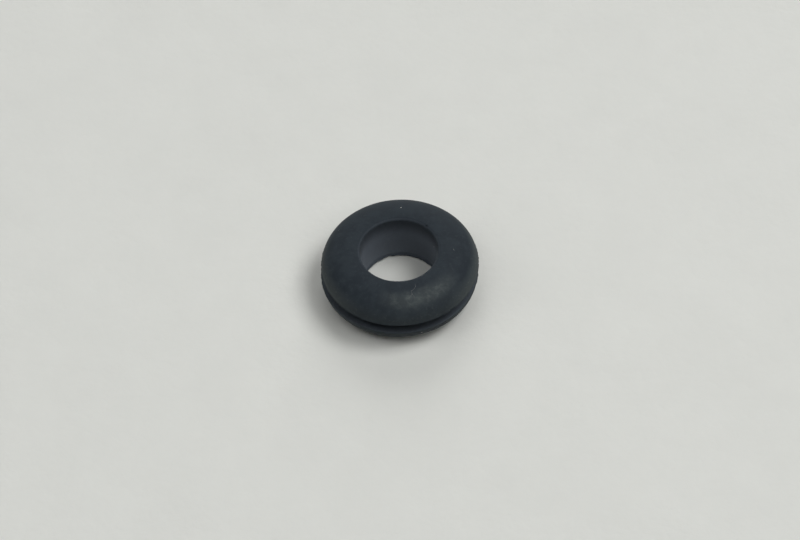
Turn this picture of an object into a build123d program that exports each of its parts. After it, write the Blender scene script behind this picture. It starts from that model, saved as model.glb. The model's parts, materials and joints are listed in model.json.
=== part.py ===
from build123d import *

import os

# A rubber grommet, moulded in one piece: a short sleeve with a domed flange at each end.
# A cable passes through the bore, and the edge of a panel hole sits in the groove
# between the two flanges. Both flanges are alike, so it fits either way round.
#
# The frame has its origin on the bore's axis, halfway between the two faces, which is
# also the middle of the panel groove. +Z runs along the bore. Sizes are millimetres.

# What the grommet fits
bore_diameter = 6.0
panel_hole_diameter = 9.0
panel_thickness = 0.9
groove_clearance = 0.1

# Overall sizes
outer_diameter = 12.3
overall_thickness = 4.45

# Details of the section
bore_edge_radius = 0.24
crown_width = 0.2
rim_band_height = 0.06
rim_corner_radius = 0.08
neck_corner_radius = 0.15

# Worked out from the sizes above
bore_radius = bore_diameter / 2
neck_radius = panel_hole_diameter / 2
outer_radius = outer_diameter / 2
face_height = overall_thickness / 2
groove_half_width = (panel_thickness + groove_clearance) / 2
bore_wall_top = face_height - bore_edge_radius
crown_inner_radius = bore_radius + bore_edge_radius
crown_outer_radius = crown_inner_radius + crown_width
rim_band_bottom = groove_half_width + rim_corner_radius
rim_band_top = rim_band_bottom + rim_band_height
neck_corner_start = neck_radius + neck_corner_radius

os.makedirs("parts", exist_ok=True)

# The section is drawn above the middle plane, from the bore wall out over the crown and
# down the dome to the rim, then in along the groove face to the neck, and is mirrored.
# The crown is the narrow flat ring that the grommet lies on.
with BuildPart() as grommet:
    with BuildSketch(Plane.XZ) as section:
        with BuildLine() as outline:
            bore_wall = Line((bore_radius, 0), (bore_radius, bore_wall_top))
            bore_edge = JernArc(bore_wall @ 1, bore_wall % 1, bore_edge_radius, -90)
            crown = Line(bore_edge @ 1, (crown_outer_radius, face_height))
            dome = EllipticalCenterArc(
                center=(crown_outer_radius, rim_band_top),
                x_radius=outer_radius - crown_outer_radius,
                y_radius=face_height - rim_band_top,
                start_angle=90,
                arc_size=-90,
            )
            rim_band = Line(dome @ 1, (outer_radius, rim_band_bottom))
            rim_corner = JernArc(rim_band @ 1, rim_band % 1, rim_corner_radius, -90)
            groove_face = Line(rim_corner @ 1, (neck_corner_start, groove_half_width))
            neck_corner = JernArc(groove_face @ 1, groove_face % 1, neck_corner_radius, 90)
            neck = Line(neck_corner @ 1, (neck_radius, 0))
            mirror(about=Plane.XZ)
        make_face()
    revolve(axis=Axis.Z)

grommet.part.label = "grommet"
export_step(grommet.part, "parts/grommet.step")
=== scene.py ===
import json
import math

import bmesh
import bpy
import numpy as np
from mathutils import Matrix, Vector, noise


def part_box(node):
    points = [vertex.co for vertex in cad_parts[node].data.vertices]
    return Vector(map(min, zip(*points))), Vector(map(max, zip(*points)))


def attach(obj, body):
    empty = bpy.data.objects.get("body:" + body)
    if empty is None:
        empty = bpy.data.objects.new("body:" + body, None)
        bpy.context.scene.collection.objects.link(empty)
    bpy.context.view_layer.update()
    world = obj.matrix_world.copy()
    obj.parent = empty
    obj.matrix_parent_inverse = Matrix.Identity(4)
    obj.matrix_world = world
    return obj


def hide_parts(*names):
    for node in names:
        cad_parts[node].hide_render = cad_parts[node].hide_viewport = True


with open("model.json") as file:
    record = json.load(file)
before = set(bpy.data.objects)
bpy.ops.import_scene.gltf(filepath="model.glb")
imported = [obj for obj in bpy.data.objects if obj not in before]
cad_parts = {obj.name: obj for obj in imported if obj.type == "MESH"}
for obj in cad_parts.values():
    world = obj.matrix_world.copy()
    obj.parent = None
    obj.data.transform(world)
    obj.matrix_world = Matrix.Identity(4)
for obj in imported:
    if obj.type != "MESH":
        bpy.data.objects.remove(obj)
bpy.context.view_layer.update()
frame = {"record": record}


# The rubber body: the whole grommet is one moulding of black rubber, a short sleeve with a
# domed flange at each end and a square groove between them for the edge of a panel. It is
# pressed between mould plates round a core pin, and a thin torn fin is left at each joint.

low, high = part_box("grommet")
cable_bore = next(m for m in frame["record"]["mounts"] if m["name"] == "cable_bore")
bore_radius = 0.001 * cable_bore["dims"]["r_mm"]
bore_wall_half = 0.0005 * cable_bore["dims"]["length_mm"]
face_height = high.z
outer_radius = high.x
bore_edge_radius = face_height - bore_wall_half
crown_width = 0.0002
crown_radius = bore_radius + bore_edge_radius + crown_width
groove_half_width = 0.0005
neck_radius = 0.0045
neck_corner_radius = 0.00015
rim_corner_radius = 0.00008
rim_band_height = 0.00006

rim_fin = 0.00007
box_clearance = 0.000008
pin_fin = 0.00016
lip_bead = 0.000035
flange_slip = Vector((0.00003, -0.00005))
flange_radius = outer_radius - rim_fin - flange_slip.length - box_clearance
rim_band_bottom = groove_half_width + rim_corner_radius
rim_band_top = rim_band_bottom + rim_band_height
dome_height = face_height - rim_band_top


def run(start, end, steps):
    """Points of a straight stretch of the section, leaving out the one it starts from."""
    shares = [step / steps for step in range(1, steps + 1)]
    return [
        (start[0] + (end[0] - start[0]) * share, start[1] + (end[1] - start[1]) * share)
        for share in shares
    ]


def arc(centre, across, up, start, end, steps):
    """Points of a quarter ellipse of the section, leaving out the one it starts from."""
    turns = [math.radians(start + (end - start) * step / steps) for step in range(1, steps + 1)]
    return [
        (centre[0] + across * math.cos(turn), centre[1] + up * math.sin(turn)) for turn in turns
    ]


# Half of the section: up the bore wall, over the crown, down the dome to the rim, and in
# along the face of the groove to the neck. The other half is its mirror image.
edge_centre = (bore_radius + bore_edge_radius, bore_wall_half)
corner_centre = (flange_radius - rim_corner_radius, rim_band_bottom)
neck_centre = (neck_radius + neck_corner_radius, groove_half_width - neck_corner_radius)
half = [(bore_radius, 0)]
half += run(half[-1], (bore_radius, bore_wall_half), 16)
half += arc(edge_centre, bore_edge_radius, bore_edge_radius, 180, 90, 12)
half += run(half[-1], (crown_radius, face_height), 2)
half += arc((crown_radius, rim_band_top), flange_radius - crown_radius, dome_height, 90, 0, 30)
half += run(half[-1], (flange_radius, rim_band_bottom), 2)
half += arc(corner_centre, rim_corner_radius, rim_corner_radius, 0, -90, 6)
half += run(half[-1], (neck_centre[0], groove_half_width), 7)
half += arc(neck_centre, neck_corner_radius, neck_corner_radius, 90, 180, 4)
half += run(half[-1], (neck_radius, 0), 2)
section = half + [(r, -z) for r, z in reversed(half[1:-1])]

turns_round = 576
angle = np.linspace(0, 2 * math.pi, turns_round, endpoint=False)[:, None]
radius = np.array([r for r, z in section])[None, :] + 0 * angle
level = np.array([z for r, z in section])[None, :] + 0 * angle


def near(values, place, width):
    """1 at a place, falling smoothly away to nothing about two widths from it."""
    return np.exp(-(((values - place) / width) ** 2))


def around(degrees, width):
    """1 at an angle round the grommet, falling smoothly away on both sides of it."""
    return near((np.degrees(angle) - degrees + 180) % 360, 180, width)


def ragged(seed, lumps, octaves):
    """A torn edge's height round the grommet, from 0 to 1, with about that many lumps."""
    ring = [Vector((math.cos(turn), math.sin(turn), seed)) * lumps / 6 for turn in angle[:, 0]]
    heights = np.array([noise.fractal(spot, 1.0, 2.0, octaves) for spot in ring])
    return np.clip(0.5 + heights, 0, 1)[:, None]


# The fins: one round each rim where it meets the groove, and one where the core pin met
# the bottom plate, which tore off unevenly. The lip at the top has only a faint bead.
torn_level = -bore_wall_half - 0.00006
bead_level = bore_wall_half + 0.00006
at_rim = near(radius, flange_radius, 0.0001)
at_bore = near(radius, bore_radius, 0.0002)
for side, seed in ((1, 3.0), (-1, 8.0)):
    fin = at_rim * near(level, side * rim_band_bottom, 0.00004)
    radius = radius + rim_fin * fin * (0.35 + 0.65 * ragged(seed, 170, 4))
torn = (0.55 + 0.45 * ragged(11.0, 40, 4)) * (1 - 0.8 * around(105, 3.5))
radius = radius - pin_fin * torn * at_bore * near(level, torn_level, 0.00007)
bead = (0.3 + 0.7 * around(-96, 10)) * (0.4 + ragged(15.0, 90, 3))
radius = radius - lip_bead * bead * at_bore * near(level, bead_level, 0.00006)

# Knocks: a nick in the far lip of the bore, a chip out of the upper rim's lower edge, a
# notch in the lower rim, and a slow wander of both rims where the rubber relaxed.
radius = radius + 0.0001 * around(45, 2.2) * at_bore * near(level, 0.00215, 0.00012)
level = level + 0.00009 * around(-50.5, 1.8) * at_rim * near(level, rim_band_bottom, 0.00012)
radius = radius - 0.00009 * around(-17, 1.5) * at_rim * near(level, -rim_band_bottom, 0.00015)
wander = 0.00001 * (ragged(21.0, 5, 2) - 1)
radius = radius + wander * near(radius, flange_radius, 0.002)

# The plates closed a little out of line, so the two flanges aren't quite over each other.
off_bore = np.clip((radius - bore_radius) / (neck_radius - bore_radius), 0, 1)
slip = np.clip(level / groove_half_width, -1, 1) * off_bore
across = radius * np.cos(angle) + flange_slip.x * slip
deep = radius * np.sin(angle) + flange_slip.y * slip
points = np.stack([across, deep, level], axis=-1)

corners = len(section)
spokes = np.arange(turns_round)[:, None] * corners
next_spokes = np.roll(spokes, -1, axis=0)
here = np.arange(corners)[None, :]
beside = np.roll(here, -1, axis=1)
faces = np.stack([spokes + here, spokes + beside, next_spokes + beside, next_spokes + here], -1)

body_mesh = bpy.data.meshes.new("rubber_body")
body_mesh.from_pydata(points.reshape(-1, 3).tolist(), [], faces.reshape(-1, 4).tolist())
body_mesh.shade_smooth()
rubber_body = bpy.data.objects.new("rubber_body", body_mesh)
bpy.context.collection.objects.link(rubber_body)


class Wire:
    """An output socket in a material. Sums on wires add Math nodes to that material."""

    def __init__(self, tree, socket=None):
        self.tree = tree
        self.socket = socket

    def add(self, kind, settings, values, output=0):
        """Adds a node: its settings first, then the values or links of its sockets."""
        node = self.tree.nodes.new("ShaderNode" + kind)
        for name, setting in settings.items():
            setattr(node, name, setting)
        for name, value in values.items():
            if isinstance(value, Wire):
                self.tree.links.new(value.socket, node.inputs[name])
            else:
                node.inputs[name].default_value = value
        return Wire(self.tree, node.outputs[output])

    def feed(self, shader, name):
        """Links this wire to a socket of the material's shader."""
        self.tree.links.new(self.socket, shader.inputs[name])

    def maths(self, operation, *others):
        """A Math node that works on this wire, and on a second value if it takes one."""
        return self.add("Math", {"operation": operation}, dict(enumerate((self, *others))))

    def __add__(self, other):
        return self.maths("ADD", other)

    def __sub__(self, other):
        return self.maths("SUBTRACT", other)

    def __mul__(self, other):
        return self.maths("MULTIPLY", other)

    def __pow__(self, other):
        return self.maths("POWER", other)

    def __rsub__(self, other):
        return self.add("Math", {"operation": "SUBTRACT"}, {0: other, 1: self})

    __radd__ = __add__
    __rmul__ = __mul__


def new_finish(name, **even):
    """A material, with the values that are the same all over set on its shader."""
    material = bpy.data.materials.new(name)
    material.use_nodes = True
    shader = material.node_tree.nodes["Principled BSDF"]
    for socket, value in even.items():
        shader.inputs[socket.replace("_", " ")].default_value = value
    return material, shader, Wire(material.node_tree)


def fade(value, start, end):
    """1 up to the start and 0 past the end, or the other way round, with soft ends."""
    limits = {"From Min": start, "From Max": end, "To Min": 1.0, "To Max": 0.0}
    return value.add(
        "MapRange", {"interpolation_type": "SMOOTHSTEP"}, {"Value": value, **limits}
    )


def mottle(place, grain, octaves=3.0, rough=0.55):
    """Cloudy noise from 0 to 1, with lumps about a grain apart."""
    values = {"Vector": place, "Scale": 1 / grain, "Detail": octaves, "Roughness": rough}
    return place.add("TexNoise", {}, values)


def blend(amount, first, second):
    """The first colour where the amount is 0 and the second where it is 1."""
    return amount.add("Mix", {"data_type": "RGBA"}, {0: amount, 6: first, 7: second}, 2)


def raise_skin(height, depth, onto=None):
    """Bends the surface's normal as if it stood up by a height times a depth."""
    values = {"Height": height, "Distance": depth, "Strength": 1.0}
    if onto is not None:
        values["Normal"] = onto
    return height.add("Bump", {}, values)


# The rubber is blue-black and matt. Its skin has the fine grain of a blasted mould with
# faint turned rings on the domes and pale flecks. Painted light is mixed into its colour:
# a painted sheen round the rims, a painted highlight with a little pale bloom on the front
# of the upper dome, the lower flange painted a little lighter, and the bore and groove
# painted lighter than their shade, partly dust and chalk, partly painted bounce light.
rubber, skin, wire = new_finish(
    "black_rubber", Specular_IOR_Level=0.12, Sheen_Weight=0.02, Sheen_Roughness=0.5
)
place = wire.add("TexCoord", {}, {}, "Object")
x, y, z = [place.add("SeparateXYZ", {}, {0: place}, axis) for axis in (0, 1, 2)]
from_axis = (x * x + y * y) ** 0.5
turn = y.maths("ARCTAN2", x)

clouds = fade(mottle(place, 0.0009, 4.0, 0.6), 0.64, 0.36)
specks = mottle(place, 0.00022, 2.0)
off_middle = z.maths("ABSOLUTE")
# Painted light: the bore wall is painted lighter than its shade, lightest from about the middle
# down and less near the top lip and the bottom edge, standing in for bounce light; some of it is
# chalk dust.
in_bore = fade(from_axis, bore_radius + 0.00006, bore_radius + 0.00018)
in_bore = in_bore * (0.45 + 0.55 * fade(z, 0.0003 - bore_wall_half, -bore_wall_half))
in_bore = in_bore * (0.16 + 0.59 * fade(z, 0.0003, bore_wall_half))
# Painted light: the groove is painted lighter than the shade between the flanges, standing in for
# bounce light; some of it is dust.
in_groove = fade(off_middle, groove_half_width, groove_half_width + 0.00006)
in_groove = in_groove * fade(from_axis, neck_radius - 0.0006, neck_radius - 0.001)
# Painted sheen: a pale band round the rims, strongest on the left and right sides, stands in for
# the sheen of light on the curving rim.
on_rim = fade(from_axis, outer_radius - 0.0001, outer_radius - 0.0008)
on_rim = on_rim * fade(off_middle, groove_half_width + 0.00006, groove_half_width)
on_rim = on_rim * (0.35 + 0.65 * fade(x.maths("ABSOLUTE"), 0.0052, 0.003))
# Painted highlight: a broad pale patch on the front of the upper dome stands in for the soft
# highlight of the lamps there, mottled with a little real pale bloom.
patch_radius = 0.0048
patch_bearing = math.radians(-71)
patch_ring = fade((from_axis - patch_radius).maths("ABSOLUTE"), 0.0001, 0.001)
off_patch = (turn - patch_bearing).maths("ABSOLUTE")
patch_arc = fade(off_patch, math.radians(12), math.radians(48))
blotches = fade(mottle(place, 0.0007, 4.0, 0.65), 0.66, 0.44)
patch = patch_ring * patch_arc * (0.45 + 0.55 * blotches)

deep_black = (0.0122, 0.0173, 0.0232, 1)
worn_black = (0.0198, 0.0265, 0.033, 1)
# The pale grey serves real bloom and flecks, and also the painted sheen and painted highlight.
bloom_and_sheen_grey = (0.062, 0.073, 0.074, 1)
chalk_and_painted_light_black = (0.155, 0.178, 0.212, 1)
dust_and_painted_light_black = (0.068, 0.08, 0.096, 1)
colour = blend(clouds, deep_black, worn_black)
# Bore wall: partly chalk dust, partly painted bounce light that lifts its shade.
colour = blend(in_bore * (0.75 + 0.25 * specks), colour, chalk_and_painted_light_black)
# Groove: partly dust, partly painted bounce light that lifts its shade.
colour = blend(in_groove * (0.5 + 0.5 * specks), colour, dust_and_painted_light_black)
# Painted sheen on the rims, broken up by the flecks.
colour = blend(on_rim * (0.45 + 0.3 * specks), colour, bloom_and_sheen_grey)
# Painted highlight on the front of the upper dome, with a little bloom.
colour = blend(patch, colour, bloom_and_sheen_grey)
# Painted light: the lower flange, below the middle, is painted a little lighter, as light falls on
# it.
colour = blend(fade(z, -0.0004, 0) * 0.07, colour, bloom_and_sheen_grey)
# Pale flecks all over; on the rims they are stronger, as part of the painted sheen.
colour = blend(fade(specks, 0.7, 0.6) * (0.12 + 0.5 * on_rim), colour, bloom_and_sheen_grey)
colour.feed(skin, "Base Color")
(0.6 + 0.1 * clouds + 0.08 * specks - 0.05 * patch).feed(skin, "Roughness")

grain = mottle(place, 0.00006, 4.0, 0.65)
dimples = place.add("TexVoronoi", {}, {"Vector": place, "Scale": 1 / 0.00028}, "Distance")
ring_pitch = 0.00016
rings = from_axis * (2 * math.pi / ring_pitch) + 3 * mottle(place, 0.0009)
relief = raise_skin(mottle(place, 0.0008, 2.0), 0.000012)
relief = raise_skin(rings.maths("SINE") * clouds, 0.0000005, relief)
relief = raise_skin(fade(dimples, 0.1, 0.3), -0.0000012, relief)
relief = raise_skin(grain, 0.000005, relief)
relief.feed(skin, "Normal")
body_mesh.materials.append(rubber)

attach(rubber_body, "root")
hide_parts("grommet")


# Dust: a few pale crumbs that have stuck to the rubber, the largest at the back of the
# upper dome. Each is an uneven flake, half sunk in the skin that holds it.


def on_dome(degrees, from_axis, lift=0.0):
    """A point on the upper dome, at an angle and a distance from the bore's axis."""
    share = (from_axis - crown_radius) / (flange_radius - crown_radius)
    height = rim_band_top + dome_height * math.sqrt(1 - max(share, 0) ** 2)
    turn = math.radians(degrees)
    return Vector((from_axis * math.cos(turn), from_axis * math.sin(turn), height + lift))


crumbs = [
    (on_dome(85.3, 0.0042), 0.000046),
    (on_dome(-4, 0.0042), 0.000022),
    (on_dome(-48, 0.0049), 0.00002),
    (on_dome(150, 0.0052), 0.000015),
    (Vector((2.72, 1.255, 0.76)) * 0.001, 0.000035),
    (Vector((1.41, -5.9, -0.66)) * 0.001, 0.00003),
]
dust_shape = bmesh.new()
for number, (centre, size) in enumerate(crumbs):
    made = bmesh.ops.create_icosphere(dust_shape, subdivisions=3, radius=size)
    for corner in made["verts"]:
        lump = noise.fractal(corner.co / size + Vector((number, 5, 9)), 1.0, 2.0, 3)
        corner.co = corner.co * (0.85 + 0.5 * lump)
        corner.co.z *= 0.6
        corner.co += centre
dust_mesh = bpy.data.meshes.new("dust_crumbs")
dust_shape.to_mesh(dust_mesh)
dust_shape.free()
dust_mesh.shade_smooth()
dust_crumbs = bpy.data.objects.new("dust_crumbs", dust_mesh)
bpy.context.collection.objects.link(dust_crumbs)

dust, dust_skin, wire = new_finish("pale_dust", Roughness=0.95)
place = wire.add("TexCoord", {}, {}, "Object")
blend(mottle(place, 0.00003), (0.3, 0.3, 0.28, 1), (0.6, 0.6, 0.57, 1)).feed(
    dust_skin, "Base Color"
)
raise_skin(mottle(place, 0.00001), 0.000004).feed(dust_skin, "Normal")
dust_mesh.materials.append(dust)
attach(dust_crumbs, "root")


# Lint: one fine grey fibre that has settled on the front of the upper dome, from near the
# lip of the bore outwards, with a second hair that forks off it.
hairs = [
    [(-72.5, 3.62), (-73.2, 3.85), (-75.5, 4.03), (-79.5, 4.17), (-79.0, 4.45), (-76.6, 4.95)],
    [(-79.2, 4.4), (-82.0, 4.62), (-84.8, 4.75), (-88.0, 5.05)],
]
lint_curve = bpy.data.curves.new("lint_fibre", "CURVE")
lint_curve.dimensions = "3D"
lint_curve.bevel_depth = 0.00001
lint_curve.bevel_resolution = 3
lint_curve.use_fill_caps = True
for hair in hairs:
    route = hair[:1]
    for first, second in zip(hair, hair[1:]):
        route += run(first, second, 4)
    line = lint_curve.splines.new("NURBS")
    line.points.add(len(route) - 1)
    for knot, (degrees, millimetres) in zip(line.points, route):
        spot = on_dome(degrees, 0.001 * millimetres, 0.000008)
        spot.z = min(spot.z, face_height - 0.000012)
        knot.co = (*spot, 1)
    line.use_endpoint_u = True
    line.order_u = 3
lint_fibre = bpy.data.objects.new("lint_fibre", lint_curve)
bpy.context.collection.objects.link(lint_fibre)

lint, lint_skin, wire = new_finish("grey_lint", Roughness=0.8, Sheen_Weight=0.3)
place = wire.add("TexCoord", {}, {}, "Object")
blend(mottle(place, 0.0002), (0.07, 0.076, 0.078, 1), (0.12, 0.128, 0.13, 1)).feed(
    lint_skin, "Base Color"
)
lint_curve.materials.append(lint)
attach(lint_fibre, "root")


# The sheet that the grommet lies on: plain pale paper, with its faint fibre and cockle. It
# is part of the stage, not of the grommet.
paper_reach = 0.8
paper_mesh = bpy.data.meshes.new("paper_sheet")
paper_corners = [(-1, -1), (1, -1), (1, 1), (-1, 1)]
paper_mesh.from_pydata(
    [(a * paper_reach, b * paper_reach, low.z) for a, b in paper_corners], [], [(0, 1, 2, 3)]
)
paper_sheet = bpy.data.objects.new("paper_sheet", paper_mesh)
bpy.context.collection.objects.link(paper_sheet)

paper, paper_skin, wire = new_finish("pale_paper", Roughness=0.9, Specular_IOR_Level=0.2)
place = wire.add("TexCoord", {}, {}, "Object")
tone = mottle(place, 0.004, 5.0, 0.6)
blend(tone, (0.645, 0.652, 0.62, 1), (0.695, 0.702, 0.668, 1)).feed(paper_skin, "Base Color")
cockle = raise_skin(mottle(place, 0.006, 3.0), 0.00012)
raise_skin(mottle(place, 0.0007, 4.0, 0.6), 0.00003, cockle).feed(paper_skin, "Normal")
paper_mesh.materials.append(paper)


# The light: soft round lamps on every side, the strongest high on the right, and a plain
# pale room. Each lamp has its bearing, its rise, its size across and its watts.
lamps = {
    "front_lamp": (-46, 52, 0.5, 2.0),
    "right_lamp": (3, 60, 0.5, 5.0),
    "back_lamp": (84, 30, 0.8, 3.6),
    "left_lamp": (186, 38, 0.6, 1.1),
    "top_lamp": (-150, 69, 0.6, 1.7),
}
lamp_distance = 1.0
for name, (bearing, rise, size, watts) in lamps.items():
    lamp_data = bpy.data.lights.new(name, "AREA")
    lamp_data.shape = "DISK"
    lamp_data.size = size
    lamp_data.energy = watts
    lamp = bpy.data.objects.new(name, lamp_data)
    turn_to = Matrix.Rotation(math.radians(bearing + 90), 4, "Z") @ Matrix.Rotation(
        math.radians(90 - rise), 4, "X"
    )
    lamp.matrix_world = turn_to @ Matrix.Translation((0, 0, lamp_distance))
    bpy.context.collection.objects.link(lamp)

room = bpy.data.worlds.new("pale_room")
room.use_nodes = True
bpy.context.scene.world = room
wire = Wire(room.node_tree)
soft = room.node_tree.nodes["Background"]
soft.inputs["Color"].default_value = (0.95, 0.98, 1, 1)
soft.inputs["Strength"].default_value = 0.03
straight, mirrored, through = [
    wire.add("LightPath", {}, {}, f"Is {kind} Ray") for kind in ("Camera", "Glossy", "Transmission")
]
seen = straight.maths("MAXIMUM", mirrored).maths("MAXIMUM", through)
backdrop = wire.add("Background", {}, {"Color": (0.68, 0.69, 0.66, 1), "Strength": 1.0})
either = wire.add("MixShader", {}, {0: seen, 1: Wire(room.node_tree, soft.outputs[0]), 2: backdrop})
either.feed(room.node_tree.nodes["World Output"], "Surface")


# The camera: it looks down on the front of the grommet through a long lens, and leans a
# little to one side.
camera_data = bpy.data.cameras.new("camera")
camera_data.lens = 135
camera_data.clip_start = 0.01
camera = bpy.data.objects.new("camera", camera_data)
bpy.context.collection.objects.link(camera)
camera_distance = 0.2306
camera_rise = 51.2
camera_lean = -3.1
look_down = Matrix.Rotation(math.radians(90 - camera_rise), 4, "X")
lean = Matrix.Rotation(math.radians(camera_lean), 4, "Z")
stand = Matrix.Translation((0.00002, -0.00019, camera_distance))
camera.matrix_world = look_down @ lean @ stand
bpy.context.scene.camera = camera
bpy.context.scene.view_settings.view_transform = "Standard"
